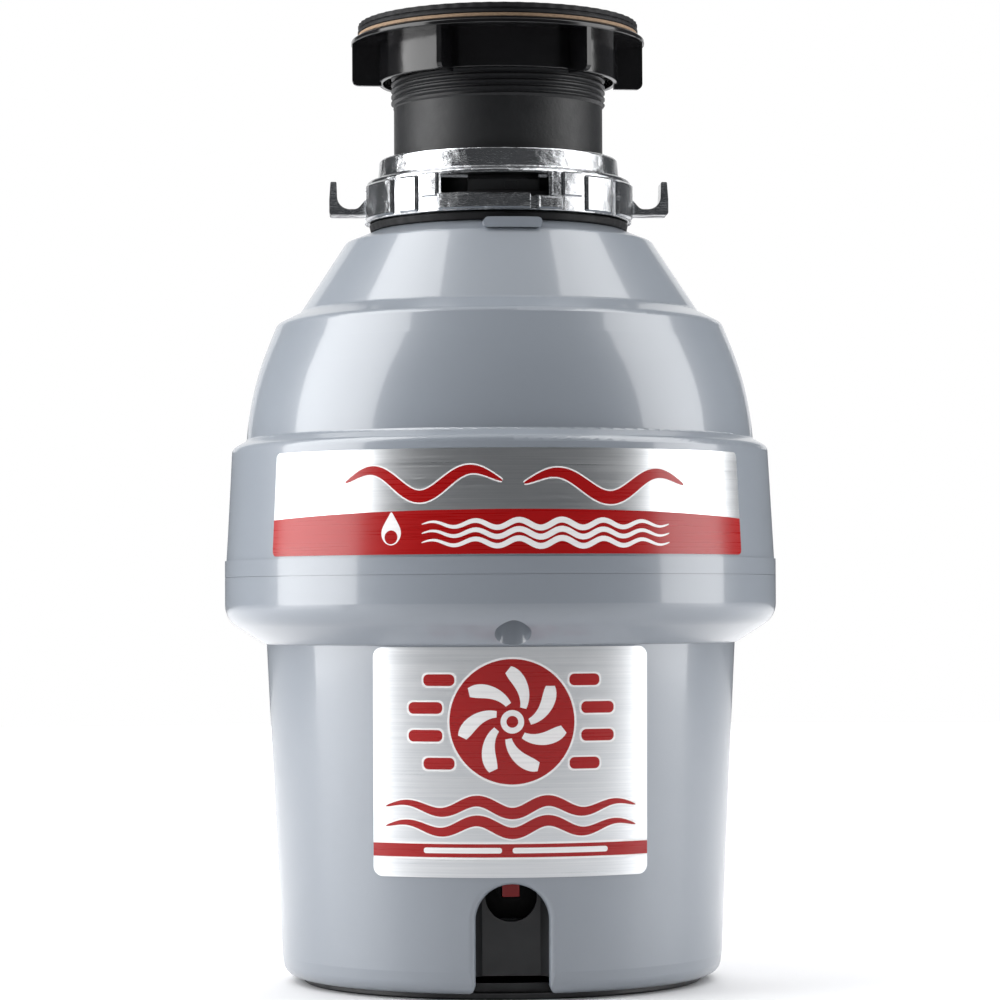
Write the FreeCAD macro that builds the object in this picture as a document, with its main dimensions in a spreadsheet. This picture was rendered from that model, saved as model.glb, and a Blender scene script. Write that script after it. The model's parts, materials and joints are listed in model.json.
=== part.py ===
import FreeCAD, Part
import math
import os
import Sketcher

# A kitchen garbage disposal: a continuous-feed grinder that hangs under a sink.
# Millimetres, +Z up, origin at the centre of the base plate's underside, front towards -Y.

SIZES = {
    # outer case
    "base_radius": 79.0, "base_edge": 2.5, "base_top": 6.0, "wall": 3.0,
    "skirt_low_radius": 87.0, "skirt_high_radius": 93.3, "ledge_height": 133.3,
    "rim_radius": 109.8, "rim_low": 143.4, "seam_height": 159.7, "line_height": 166.3,
    "band_low_radius": 109.2, "band_high_radius": 106.8, "band_top": 210.8,
    "dome_low_radius": 101.1, "dome_low": 213.9, "shoulder_radius": 88.9, "shoulder_height": 260.2,
    "cone_low_radius": 79.7, "cone_low": 264.8, "cone_high_radius": 61.4, "cone_high": 292.8,
    "case_top": 297.4, "case_hole_radius": 50.2,
    "well_radius": 6.85, "well_circle": 100.8, "notch_width": 27.5, "notch_height": 44.0,
    "foil": 0.25,
    # motor
    "shaft_radius": 6.0, "shaft_low": 15.0, "bearing_radius": 13.0, "bearing_height": 8.0,
    "can_radius": 54.0, "can_low": 29.0, "can_high": 129.0, "bolt_circle": 57.5, "bolt_radius": 2.5,
    "core_radius": 43.7, "core_low": 60.0, "core_high": 105.0, "commutator_radius": 14.0,
    "brush_height": 39.0, "button_height": 41.5, "button_width": 6.5,
    # grinding chamber
    "chamber_floor": 145.0, "chamber_radius": 77.8, "chamber_wall": 4.0, "chamber_high": 238.0,
    "ring_low": 184.0, "neck_radius": 47.0, "throat_radius": 42.0, "neck_low": 282.0,
    "neck_top": 306.0, "table_radius": 73.0, "table_height": 187.0, "pivot_circle": 47.0,
    "outlet_radius": 19.05, "outlet_height": 169.0, "outlet_face": 108.0,
    "inlet_radius": 11.0, "inlet_height": 228.0, "inlet_end": 118.0, "inlet_turn": 40.0,
    # sink mount
    "ring_radius": 52.8, "ring_bottom": 301.0, "ring_shoulder": 317.3, "collar_radius": 47.6,
    "collar_top": 326.2, "ear_reach": 67.8, "tube_radius": 41.8, "tube_bore": 38.0,
    "tube_low": 309.0, "thread_radius": 42.9, "thread_low": 347.0, "thread_pitch": 2.5,
    "nut_radius": 48.0, "nut_low": 357.3, "nut_flange_radius": 58.8, "nut_top": 375.6,
    "gasket_radius": 56.0, "gasket_top": 376.9, "flange_low": 379.9, "flange_top": 381.2,
}

V = FreeCAD.Vector
doc = FreeCAD.newDocument("disposal")
sheet = doc.addObject("Spreadsheet::Sheet", "Sizes")
pieces = []


class Size:
    """A length that remembers the spreadsheet expression it was worked out from."""

    def __init__(self, value, text):
        self.value = float(value)
        self.text = text

    def join(self, sign, other, value):
        return Size(value, f"({self.text} {sign} {as_size(other).text})")

    def __add__(self, other):
        return self.join("+", other, self.value + as_size(other).value)

    def __sub__(self, other):
        return self.join("-", other, self.value - as_size(other).value)

    def __mul__(self, other):
        return self.join("*", other, self.value * as_size(other).value)

    def __truediv__(self, other):
        return self.join("/", other, self.value / as_size(other).value)

    def __neg__(self):
        return self * -1


def as_size(number):
    return number if isinstance(number, Size) else Size(number, f"({round(number, 6)})")


def read_sizes():
    """Fills the spreadsheet and gives each alias as a Size."""
    found = {}
    for row, (alias, value) in enumerate(SIZES.items(), start=1):
        sheet.set(f"A{row}", alias)
        sheet.set(f"B{row}", str(value))
        sheet.setAlias(f"B{row}", alias)
        found[alias] = Size(value, f"Sizes.{alias}")
    doc.recompute()
    return found


S = read_sizes()


def bind(item, **sizes):
    """Sets properties of a feature, and drives those that come from the sheet by expressions."""
    for name, number in sizes.items():
        if isinstance(number, Size):
            item.setExpression(name, number.text)
        else:
            setattr(item, name, number)
    return item


# ---- sketches ----

def origin_plane(body, role):
    return next(item for item in body.Origin.OriginFeatures if item.Role == role)


def new_sketch(body, role, offset=0.0):
    """A sketch on one of the body's origin planes, moved along the plane's normal by the offset."""
    sketch = body.newObject("Sketcher::SketchObject", "outline")
    sketch.AttachmentSupport = (origin_plane(body, role), [""])
    sketch.MapMode = "FlatFace"
    distance = as_size(offset)
    sketch.AttachmentOffset = FreeCAD.Placement(V(0, 0, distance.value), FreeCAD.Rotation())
    if isinstance(offset, Size):
        sketch.setExpression("AttachmentOffset.Base.z", offset.text)
    return sketch


def pin_point(sketch, line, end, corner):
    """Holds a sketch point at a corner's two coordinates."""
    for kind, axis, number in (("DistanceX", -2, corner[0]), ("DistanceY", -1, corner[1])):
        if as_size(number).value == 0:
            sketch.addConstraint(Sketcher.Constraint("PointOnObject", line, end, axis))
            continue
        value = as_size(number).value
        index = sketch.addConstraint(Sketcher.Constraint(kind, -1, 1, line, end, value))
        if isinstance(number, Size):
            sketch.setExpression(f"Constraints[{index}]", number.text)


def rounded(before, corner, after, radius):
    """Where a rounded corner's arc starts, ends and has its centre."""
    to_before = (before - corner).normalize()
    to_after = (after - corner).normalize()
    half = to_before.getAngle(to_after) / 2
    reach = radius / math.tan(half)
    middle = (to_before + to_after).normalize()
    return corner + to_before * reach, corner + to_after * reach, corner + middle * (radius / math.sin(half))


def draw_outline(sketch, corners):
    """A closed outline of straight sides. A corner is (x, y), or (x, y, radius) where it is rounded."""
    spots = [V(as_size(c[0]).value, as_size(c[1]).value, 0) for c in corners]
    count = len(corners)
    arcs = {}
    for i, corner in enumerate(corners):
        if len(corner) == 3:
            before, after = spots[i - 1], spots[(i + 1) % count]
            arcs[i] = rounded(before, spots[i], after, as_size(corner[2]).value)
    for i in range(count):
        following = (i + 1) % count
        start = arcs[i][1] if i in arcs else spots[i]
        end = arcs[following][0] if following in arcs else spots[following]
        sketch.addGeometry(Part.LineSegment(start, end), False)
    for i, corner in enumerate(corners):
        arriving, leaving = (i - 1) % count, i
        if i not in arcs:
            sketch.addConstraint(Sketcher.Constraint("Coincident", arriving, 2, leaving, 1))
            pin_point(sketch, leaving, 1, corner)
            continue
        first, last, centre = arcs[i]
        turns_left = (first - centre).cross(last - centre).z > 0
        low, high = (first, last) if turns_left else (last, first)
        angles = [math.atan2(p.y - centre.y, p.x - centre.x) for p in (low, high)]
        if angles[1] < angles[0]:
            angles[1] += 2 * math.pi
        circle = Part.Circle(centre, V(0, 0, 1), as_size(corner[2]).value)
        arc = sketch.addGeometry(Part.ArcOfCircle(circle, *angles), False)
        arc_start, arc_end = (1, 2) if turns_left else (2, 1)
        point = sketch.addGeometry(Part.Point(spots[i]), True)
        sketch.addConstraint(Sketcher.Constraint("Tangent", arriving, 2, arc, arc_start))
        sketch.addConstraint(Sketcher.Constraint("Tangent", arc, arc_end, leaving, 1))
        radius = sketch.addConstraint(Sketcher.Constraint("Radius", arc, as_size(corner[2]).value))
        if isinstance(corner[2], Size):
            sketch.setExpression(f"Constraints[{radius}]", corner[2].text)
        sketch.addConstraint(Sketcher.Constraint("PointOnObject", point, 1, arriving))
        sketch.addConstraint(Sketcher.Constraint("PointOnObject", point, 1, leaving))
        pin_point(sketch, point, 1, corner)


def draw_circle(sketch, x, y, radius):
    centre = V(as_size(x).value, as_size(y).value, 0)
    ring = sketch.addGeometry(Part.Circle(centre, V(0, 0, 1), as_size(radius).value), False)
    pin_point(sketch, ring, 3, (x, y))
    index = sketch.addConstraint(Sketcher.Constraint("Radius", ring, as_size(radius).value))
    if isinstance(radius, Size):
        sketch.setExpression(f"Constraints[{index}]", radius.text)


# ---- features of a body ----

def new_body(name):
    return doc.addObject("PartDesign::Body", name)


def revolve(body, corners, angle=360.0, cut=False):
    """Turns an outline of (radius, height) corners about the vertical axis, or cuts with it."""
    sketch = new_sketch(body, "XZ_Plane")
    draw_outline(sketch, corners)
    turned = body.newObject("PartDesign::Groove" if cut else "PartDesign::Revolution", "turned")
    turned.Profile = sketch
    turned.ReferenceAxis = (sketch, ["V_Axis"])
    turned.Angle = angle
    body.Tip = turned
    return turned


def finish_pad(body, sketch, length, cut=False, backwards=False):
    """Pads or pockets a finished sketch."""
    feature = body.newObject("PartDesign::Pocket" if cut else "PartDesign::Pad", "straight")
    feature.Profile = sketch
    feature.Length = as_size(length).value
    bind(feature, Length=length)
    feature.Reversed = backwards
    body.Tip = feature
    return feature


def pad(body, role, offset, length, corners, cut=False, backwards=False):
    """Pads an outline away from an origin plane; a cut goes the same way when it is backwards."""
    sketch = new_sketch(body, role, offset)
    draw_outline(sketch, corners)
    return finish_pad(body, sketch, length, cut, backwards)


def pad_circles(body, role, offset, length, circles, cut=False, backwards=False):
    """Pads circles of (x, y, radius) away from an origin plane, or cuts with them."""
    sketch = new_sketch(body, role, offset)
    for x, y, radius in circles:
        draw_circle(sketch, x, y, radius)
    return finish_pad(body, sketch, length, cut, backwards)


def repeat_round(body, features, count):
    """Repeats features of a body evenly about the vertical axis."""
    pattern = body.newObject("PartDesign::PolarPattern", "round")
    pattern.Originals = features
    pattern.Axis = (origin_plane(body, "Z_Axis"), [""])
    pattern.Angle = 360.0
    pattern.Occurrences = count
    body.Tip = pattern
    return pattern


def keep(item, label, turn=0.0):
    """Names a finished sub-part and gives it its place, turned about the vertical axis."""
    item.Label = label
    item.Placement = FreeCAD.Placement(V(0, 0, 0), FreeCAD.Rotation(V(0, 0, 1), turn))
    pieces.append(item)
    return item


def keep_revolved(label, corners):
    """A sub-part that is one turned outline."""
    body = new_body(label)
    revolve(body, corners)
    return keep(body, label)


def ring_outline(inner, outer, low, high):
    """The section of a plain ring, or of a disc when the inner radius is zero."""
    return [(inner, low), (outer, low), (outer, high), (inner, high)]


# ---- primitives and booleans ----

def cylinder(radius, height, base, axis=(0, 0, 1)):
    """A Part::Cylinder from a base point along an axis."""
    item = doc.addObject("Part::Cylinder", "round_bar")
    bind(item, Radius=radius, Height=height)
    point = V(*[as_size(number).value for number in base])
    item.Placement = FreeCAD.Placement(point, FreeCAD.Rotation(V(0, 0, 1), V(*axis)))
    for letter, number in zip("xyz", base):
        if isinstance(number, Size):
            item.setExpression(f"Placement.Base.{letter}", number.text)
    return item


def box(low, high):
    """A Part::Box between two corners."""
    item = doc.addObject("Part::Box", "block")
    spans = [as_size(high[i]) - low[i] for i in range(3)]
    bind(item, Length=spans[0], Width=spans[1], Height=spans[2])
    item.Placement.Base = V(*[as_size(number).value for number in low])
    for letter, number in zip("xyz", low):
        if isinstance(number, Size):
            item.setExpression(f"Placement.Base.{letter}", number.text)
    return item


def turned_copy(make, turn):
    """One primitive made by a function, carried round the vertical axis."""
    item = make()
    spin = FreeCAD.Placement(V(0, 0, 0), FreeCAD.Rotation(V(0, 0, 1), turn))
    for letter in "xyz":
        item.setExpression(f"Placement.Base.{letter}", None)
    item.Placement = spin.multiply(item.Placement)
    return item


def cut(base, tool):
    item = doc.addObject("Part::Cut", "cut")
    item.Base = base
    item.Tool = tool
    return item


def fuse(*items):
    item = doc.addObject("Part::MultiFuse", "fused")
    item.Shapes = list(items)
    item.Refine = True
    return item


def common(first, second):
    item = doc.addObject("Part::Common", "shared")
    item.Base = first
    item.Tool = second
    return item


def group(items):
    """Several separate solids kept as one sub-part."""
    item = doc.addObject("Part::Compound", "set")
    item.Links = list(items)
    return item


def round_places(radius, count, first=0.0):
    """Points evenly spaced on a circle: each (turn in degrees, x, y)."""
    places = []
    for i in range(count):
        turn = first + 360.0 * i / count
        places.append((turn, radius * math.cos(math.radians(turn)), radius * math.sin(math.radians(turn))))
    return places


# ---- outer case ----

def well_places():
    """Where the three screws that join the two shells stand."""
    return round_places(S["well_circle"].value, 3, -90)


def skirt_radius(height):
    """The skirt's outside radius, which grows steadily from the base to the ledge."""
    slope = (S["skirt_high_radius"] - S["skirt_low_radius"]) / (S["ledge_height"] - S["base_edge"])
    return S["skirt_low_radius"] + slope * (as_size(height) - S["base_edge"])


def band_radius(height):
    """The band's outside radius, which shrinks steadily towards its top."""
    slope = (S["band_high_radius"] - S["band_low_radius"]) / (S["band_top"] - S["line_height"])
    return S["band_low_radius"] + slope * (as_size(height) - S["line_height"])


def base_screw_places():
    return round_places(66, 4, 45)


def make_base_plate():
    """The round plate that closes the case from below, with a stand for the motor."""
    body = new_body("base_plate")
    edge = S["base_radius"]
    step = edge - 3.5
    top = S["base_top"]
    motor_stand = [(34, top), (34, 24), (30, 24), (30, top)]
    revolve(body, [
        (0, 0), (edge, 0, 0.8), (edge, S["base_edge"]), (step, S["base_edge"]), (step, top),
        *motor_stand, (0, top),
    ])
    gland_hole = (0, 56, 11.1)
    pad_circles(body, "XY_Plane", 0, 10, [gland_hole], cut=True, backwards=True)
    holes = [(x, y, 2.6) for turn, x, y in base_screw_places()]
    pad_circles(body, "XY_Plane", 0, 10, holes, cut=True, backwards=True)
    counterbores = [(x, y, 4.8) for turn, x, y in base_screw_places()]
    pad_circles(body, "XY_Plane", 0, 3.2, counterbores, cut=True, backwards=True)
    keep(body, "base_plate")


def make_base_screws():
    screws = []
    for turn, x, y in base_screw_places():
        screws.append(fuse(cylinder(4.6, 2.6, (x, y, 0.5)), cylinder(2.5, 20, (x, y, 3.1))))
    keep(group(screws), "base_screws")


def make_cable_gland():
    """The bushing the mains cord comes in through."""
    body = new_body("cable_gland")
    pad_circles(body, "XY_Plane", 0.5, 16, [(0, 56, 11.0), (0, 56, 5.0)])
    pad_circles(body, "XY_Plane", S["base_top"], 2.5, [(0, 56, 14.0), (0, 56, 11.0)])
    keep(body, "cable_gland")


def outlet_window():
    """The rounded opening at the back that the two shells close around the outlet."""
    body = new_body("outlet_window")
    wide = 45.0
    tall = 28.0
    level = S["outlet_height"]
    pad(body, "XZ_Plane", -70, 60, [
        (-wide, level - tall, 12), (wide, level - tall, 12),
        (wide, level + tall, 12), (-wide, level + tall, 12),
    ], backwards=True)
    return body


def make_lower_shell():
    """The tapered skirt that flares out to the rim, with three screw wells and the reset notch."""
    rim = S["rim_radius"]
    seam = S["seam_height"]
    tongue = rim - 3.3
    inside = rim - 5.5
    below = -8.0
    flare = [
        (S["skirt_high_radius"], S["ledge_height"]),
        (S["skirt_high_radius"] + 1.5, S["ledge_height"] + 0.5, 0.6),
        (rim, S["rim_low"], 10.0),
    ]
    case = new_body("lower_case")
    revolve(case, [(skirt_radius(below), below)] + flare + [
        (rim, seam), (tongue, seam), (tongue, seam + 3.5), (inside, seam + 3.5),
        (inside, 144.6), (90.3, 136.6), (skirt_radius(below) - S["wall"], below),
    ])
    outside = new_body("lower_outside")
    revolve(outside, [(0, S["base_top"]), (skirt_radius(S["base_top"]), S["base_top"])] + flare
            + [(rim, seam), (0, seam)])
    floor = new_body("lower_floor")
    revolve(floor, ring_outline(S["base_radius"] - 3, 84.9, S["base_edge"], S["base_edge"] + S["wall"]))
    bosses = []
    wells = []
    for turn, x, y in well_places():
        bosses.append(common(cylinder(S["well_radius"] + 1.9, 24, (x, y, 135.6)), outside))
        wells.append(cylinder(S["well_radius"], 17, (x, y, 130)))
        wells.append(cylinder(2.1, 40, (x, y, 130)))
    notched = soften_notch(cut(fuse(case, floor), make_notch(below)))
    hollow = cut(fuse(notched, *bosses), fuse(outlet_window(), *wells))
    keep(cut(hollow, make_foot_trim()), "lower_shell")


def make_notch(below):
    """The arched opening at the front for reaching the reset button, which widens in a curve at its foot."""
    body = new_body("notch")
    half = S["notch_width"] / 2
    top = S["notch_height"]
    low = below - 4
    wide = half + 14
    pad(body, "XZ_Plane", 60, 60, [
        (-wide, low), (wide, low), (wide, -1.0), (half, 3.0, 5.0),
        (half, top, 13.6), (-half, top, 13.6), (-half, 3.0, 5.0), (-wide, -1.0),
    ])
    return body


def soften_notch(shell):
    """Rounds the outside lip of the reset notch."""
    doc.recompute()
    chosen = []
    for number, edge in enumerate(shell.Shape.Edges, start=1):
        limits = edge.BoundBox
        middle = edge.CenterOfMass
        at_notch = limits.YMax < -80 and limits.ZMax < 46 and limits.ZMin > -2.6
        outside = math.hypot(middle.x, middle.y) > skirt_radius(middle.z).value - 1.2
        if at_notch and outside:
            chosen.append((number, 2.3, 2.3))
    item = doc.addObject("Part::Fillet", "soft_notch")
    item.Base = shell
    item.Edges = chosen
    return item


def make_foot_trim():
    """What is taken off below the skirt, so that its foot is level inside and rounded outside."""
    body = new_body("foot_trim")
    low = S["base_edge"]
    start = skirt_radius(11)
    beyond = 125.0
    revolve(body, [
        (0, -20), (beyond, -20), (beyond, 14), (start + 0.46, 14), (start - 1.3, low, 5.5), (0, low),
    ])
    return body


def make_upper_shell():
    """The case above the seam: the band, the dome, and the cone that leads up to the sink mount."""
    body = new_body("upper_case")
    rim = S["rim_radius"]
    wall = S["wall"]
    revolve(body, [
        (rim, S["seam_height"] + 0.1),
        (rim, S["line_height"]),
        (S["band_low_radius"], S["line_height"]),
        (S["band_high_radius"], S["band_top"], 3.2),
        (S["dome_low_radius"], S["dome_low"], 1.2),
        (99.3, 234.6, 120.0),
        (S["shoulder_radius"], S["shoulder_height"], 4.0),
        (S["cone_low_radius"], S["cone_low"], 3.0),
        (S["cone_high_radius"], S["cone_high"], 2.0),
        (S["case_hole_radius"], S["case_top"]),
        (S["case_hole_radius"], S["case_top"] - wall - 0.2),
        (S["cone_high_radius"] - 2.2, S["cone_high"] - 2.2),
        (S["cone_low_radius"] - 2.3, S["cone_low"] - 2.2),
        (S["shoulder_radius"] - 2.3, S["shoulder_height"] - 2.2),
        (96.2, 234.0, 110.0),
        (S["dome_low_radius"] - 3.2, S["dome_low"] - 1.9),
        (S["band_high_radius"] - 3.1, S["band_top"] - 2.1),
        (S["band_low_radius"] - 3.1, S["line_height"]),
        (S["band_low_radius"] - 3.1, S["seam_height"] + 0.1),
    ])
    bosses = [cylinder(7.6, 14, (x, y, 160.2)) for turn, x, y in round_places(98.6, 3, -90)]
    holes = [cylinder(2.1, 12, (x, y, 160)) for turn, x, y in well_places()]
    rabbet = new_body("rabbet")
    revolve(rabbet, ring_outline(rim - 5.8, rim - 3.1, S["seam_height"] - 1, S["seam_height"] + 3.9))
    inlet = at_inlet(lambda: cylinder(13.5, 60, (0, 60, S["inlet_height"]), (0, 1, 0)))
    shell = cut(fuse(body, *bosses), fuse(rabbet, outlet_window(), inlet, *holes))
    keep(fuse(shell, make_clip_tab()), "upper_shell")


def make_clip_tab():
    """The small raised tab at the front of the case's top rim, with rounded ends."""
    body = new_body("clip_tab")
    half = 11.3
    low = 293.2
    high = 297.2
    pad(body, "XZ_Plane", 50, 13.4, [
        (-half, low, 1.8), (half, low, 1.8), (half, high, 1.8), (-half, high, 1.8),
    ])
    limit = new_body("clip_limit")
    revolve(limit, ring_outline(51, 62.6, 290, 298))
    tab = common(body, limit)
    tab.Placement = FreeCAD.Placement(V(0, 0, 0), FreeCAD.Rotation(V(0, 0, 1), 2.6))
    return tab


def make_shell_screws():
    screws = []
    for turn, x, y in well_places():
        screws.append(fuse(cylinder(4.2, 3, (x, y, 144)), cylinder(2.0, 24, (x, y, 147))))
    keep(group(screws), "shell_screws")


def make_band_label():
    """The foil that wraps round the front of the band."""
    low = 167.2
    high = 206.5
    body = new_body("band_label")
    revolve(body, [
        (band_radius(low), low), (band_radius(low) + S["foil"], low),
        (band_radius(high) + S["foil"], high), (band_radius(high), high),
    ], angle=110.0)
    keep(body, "band_label", turn=-145.0)


def make_front_label():
    """The foil badge on the front of the skirt."""
    low = 46.6
    high = 132.7
    half = 51.7
    foil = new_body("label_foil")
    revolve(foil, [
        (skirt_radius(low), low), (skirt_radius(low) + S["foil"], low),
        (skirt_radius(high) + S["foil"], high), (skirt_radius(high), high),
    ])
    shape = new_body("label_shape")
    pad(shape, "XZ_Plane", 40, 80, [
        (-half, low, 3.5), (half, low, 3.5), (half, high, 3.5), (-half, high, 3.5),
    ])
    keep(common(foil, shape), "front_label")


def make_reset_panel():
    """The recessed wall behind the notch, with a round hole for the reset button."""
    body = new_body("reset_panel")
    pad(body, "XY_Plane", S["base_top"] + 2.8, 43.2, [
        (-18.4, -80.3), (-12.3, -74), (12.3, -74), (18.4, -80.3),
        (16.4, -82), (11, -76), (-11, -76), (-16.4, -82),
    ])
    pad_circles(body, "XZ_Plane", 60, 30, [(0, 38.8, 9.8)], cut=True, backwards=True)
    keep(body, "reset_panel")


# ---- electrical pieces ----

def square(half, level, radius):
    """A rounded square centred at a height."""
    return [(-half, level - half, radius), (half, level - half, radius),
            (half, level + half, radius), (-half, level + half, radius)]


def make_overload_protector():
    """The switch that cuts the motor off, with a square guide for its reset button."""
    body = new_body("overload_protector")
    level = S["button_height"]
    pad(body, "XZ_Plane", 56, 14, [(-14, 30), (14, 30), (14, 53), (-14, 53)])
    pad_circles(body, "XZ_Plane", 70, 3.2, [(0, level, 5.6)])
    half = S["button_width"] / 2 + 0.35
    pad(body, "XZ_Plane", 59, 16, square(half, level, 0.8), cut=True, backwards=True)
    keep(body, "overload_protector")


def make_reset_button():
    body = new_body("reset_button")
    pad(body, "XZ_Plane", 60, 13.6, square(S["button_width"] / 2, S["button_height"], 0.6))
    keep(body, "reset_button")


def make_rectifier():
    body = new_body("rectifier")
    pad(body, "YZ_Plane", 58, 9, [(-14, 30, 1.5), (14, 30, 1.5), (14, 54, 1.5), (-14, 54, 1.5)])
    keep(body, "rectifier")


# ---- motor ----

def bolt_places():
    return round_places(S["bolt_circle"].value, 4, 45)


def hopper_screw_places():
    return round_places(84, 6, 30)


def make_lower_end_bell():
    """The casting under the motor can, which seats the lower bearing."""
    body = new_body("lower_end_bell")
    seat = S["bearing_radius"]
    edge = 61.0
    revolve(body, [
        (0, 12), (seat + 4, 12), (seat + 4, 24), (edge, 24), (edge, S["can_low"]),
        (22, S["can_low"]), (22, 27), (seat, 27), (seat, 14.6), (0, 14.6),
    ])
    holes = [(x, y, 2.6) for turn, x, y in bolt_places()]
    pad_circles(body, "XY_Plane", 20, 12, holes, cut=True, backwards=True)
    keep(body, "lower_end_bell")


def make_upper_end_bell():
    """The casting over the motor can, which seats the upper bearing and floors the chamber."""
    body = new_body("upper_end_bell")
    seat = S["bearing_radius"]
    low = S["can_high"]
    floor = S["chamber_floor"]
    lip = 87.0
    revolve(body, [
        (seat, low), (seat + 4, low), (seat + 4, low + 5), (50, low + 5), (50, low), (62, low),
        (62, floor - 8, 3), (79, floor - 4.5), (lip, floor - 4.5), (lip, floor), (14, floor),
        (14, floor - 5), (7, floor - 5), (7, low + 8.2), (seat, low + 8.2),
    ])
    holes = [(x, y, 2.6) for turn, x, y in bolt_places()]
    pad_circles(body, "XY_Plane", low - 1, 13, holes, cut=True, backwards=True)
    screw_holes = [(x, y, 1.9) for turn, x, y in hopper_screw_places()]
    pad_circles(body, "XY_Plane", floor - 6, 8, screw_holes, cut=True, backwards=True)
    keep(body, "upper_end_bell")


def make_bearings():
    """Two ball bearings, each one closed ring with a groove round each of its faces."""
    bore = S["shaft_radius"] + 0.05
    outer = S["bearing_radius"]
    first, last = 8.6, 10.6
    for label, low in (("lower_bearing", as_size(14.8)), ("upper_bearing", S["can_high"] + 0.2)):
        high = low + S["bearing_height"]
        keep_revolved(label, [
            (bore, low), (first, low), (first, low + 0.8), (last, low + 0.8), (last, low), (outer, low),
            (outer, high), (last, high), (last, high - 0.8), (first, high - 0.8), (first, high), (bore, high),
        ])


def make_motor_can():
    can = S["can_radius"]
    keep_revolved("motor_can", ring_outline(can - 2.5, can, S["can_low"], S["can_high"]))


def make_magnets():
    """The two curved magnets inside the can."""
    shoes = []
    for turn in (-70, 110):
        body = new_body("magnet")
        revolve(body, ring_outline(44.6, S["can_radius"] - 2.5, 58, 107), angle=140.0)
        body.Placement = FreeCAD.Placement(V(0, 0, 0), FreeCAD.Rotation(V(0, 0, 1), turn - 90))
        shoes.append(body)
    keep(group(shoes), "magnets")


def make_through_bolts():
    bolts = []
    for turn, x, y in bolt_places():
        bolts.append(fuse(cylinder(4.5, 3.4, (x, y, 20.6)), cylinder(S["bolt_radius"], 116, (x, y, 24))))
    keep(group(bolts), "through_bolts")


def make_brush_gear():
    """Two brushes on the commutator, each in a square holder with a coil spring behind it."""
    holders, brushes, springs = [], [], []
    level = S["brush_height"].value
    for turn in (0, 180):
        outer = turned_copy(lambda: box((15.6, -7, level - 8), (44, 7, level + 7)), turn)
        bore = turned_copy(lambda: box((15, -4.1, level - 5.1), (41, 4.1, level + 5.1)), turn)
        foot = turned_copy(lambda: box((20, -7, S["can_low"]), (40, 7, level - 8)), turn)
        holders.append(fuse(cut(outer, bore), foot))
        block = turned_copy(lambda: box((10, -4, level - 5), (29, 4, level + 5)), turn)
        drum = cylinder(S["commutator_radius"] + 0.3, 14, (0, 0, level - 7))
        brushes.append(cut(block, drum))
        springs.append(make_spring(turn, level))
    keep(group(holders), "brush_holders")
    keep(group(brushes), "carbon_brushes")
    keep(group(springs), "brush_springs")


def make_spring(turn, level):
    """A small coil spring lying along a radius, between a brush and its holder's end."""
    coil = doc.addObject("Part::Helix", "coil")
    coil_radius = 2.8
    coil.Pitch = 3.6
    coil.Height = 10.8
    coil.Radius = coil_radius
    wire = doc.addObject("Part::Circle", "wire")
    wire.Radius = 0.4
    wire.Placement = FreeCAD.Placement(V(coil_radius, 0, 0), FreeCAD.Rotation(V(1, 0, 0), 90))
    spring = doc.addObject("Part::Sweep", "spring")
    spring.Sections = [wire]
    spring.Spine = (coil, ["Edge1"])
    spring.Solid = True
    spring.Frenet = True
    along = FreeCAD.Rotation(V(0, 0, 1), V(1, 0, 0))
    spin = FreeCAD.Placement(V(0, 0, 0), FreeCAD.Rotation(V(0, 0, 1), turn))
    spring.Placement = spin.multiply(FreeCAD.Placement(V(29.5, 0, level), along))
    return spring


def make_shaft():
    """The motor shaft, stepped down where the turntable sits on it."""
    radius = S["shaft_radius"]
    seat = S["table_height"] - 3
    low = S["shaft_low"]
    high = S["table_height"] + 10
    keep_revolved("shaft", [
        (0, low), (radius, low, 0.8), (radius, seat), (4.9, seat), (4.9, high, 0.6), (0, high),
    ])


def make_windings():
    """The bundles of wire at the two ends of the laminated stack."""
    inner, outer, depth = 8.5, 38.5, 11.0
    low = S["core_low"]
    high = S["core_high"]
    lower = new_body("lower_turns")
    revolve(lower, [(inner, low - depth, 2.5), (outer, low - depth, 4.5), (outer, low), (inner, low)])
    upper = new_body("upper_turns")
    revolve(upper, [(inner, high), (outer, high), (outer, high + depth, 4.5), (inner, high + depth, 2.5)])
    keep(group([lower, upper]), "windings")


def make_slinger():
    """The disc on the shaft that throws water clear of the seal."""
    bore = S["shaft_radius"]
    low = S["chamber_floor"] + 2.6
    keep_revolved("slinger", [
        (bore, low), (9, low), (22, low + 2.9, 1), (22, low + 4.9), (9, low + 4), (9, low + 7.4),
        (bore, low + 7.4),
    ])


def make_armature_core():
    """The laminated stack, with open slots round its outside for the windings."""
    body = new_body("armature_core")
    revolve(body, ring_outline(S["shaft_radius"], S["core_radius"], S["core_low"], S["core_high"]))
    height = S["core_high"] - S["core_low"]
    slot = pad(body, "XY_Plane", S["core_low"], height, [(33, -2.2), (47, -1.2), (47, 1.2), (33, 2.2)],
               cut=True, backwards=True)
    repeat_round(body, [slot], 12)
    keep(body, "armature_core")


def make_commutator():
    """A copper drum with its segments parted by narrow slots, on a moulded hub."""
    level = S["brush_height"]
    body = new_body("commutator")
    revolve(body, ring_outline(S["shaft_radius"], S["commutator_radius"], level - 8, level + 8))
    slot = pad(body, "XY_Plane", level - 8, 16, [(12.6, -0.3), (15, -0.3), (15, 0.3), (12.6, 0.3)],
               cut=True, backwards=True)
    repeat_round(body, [slot], 24)
    keep(body, "commutator")


# ---- grinding chamber ----

def make_shaft_seal():
    low = S["chamber_floor"] - 5
    keep_revolved("shaft_seal", ring_outline(S["shaft_radius"] + 0.1, 14, low, low + 6.6))


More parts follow.
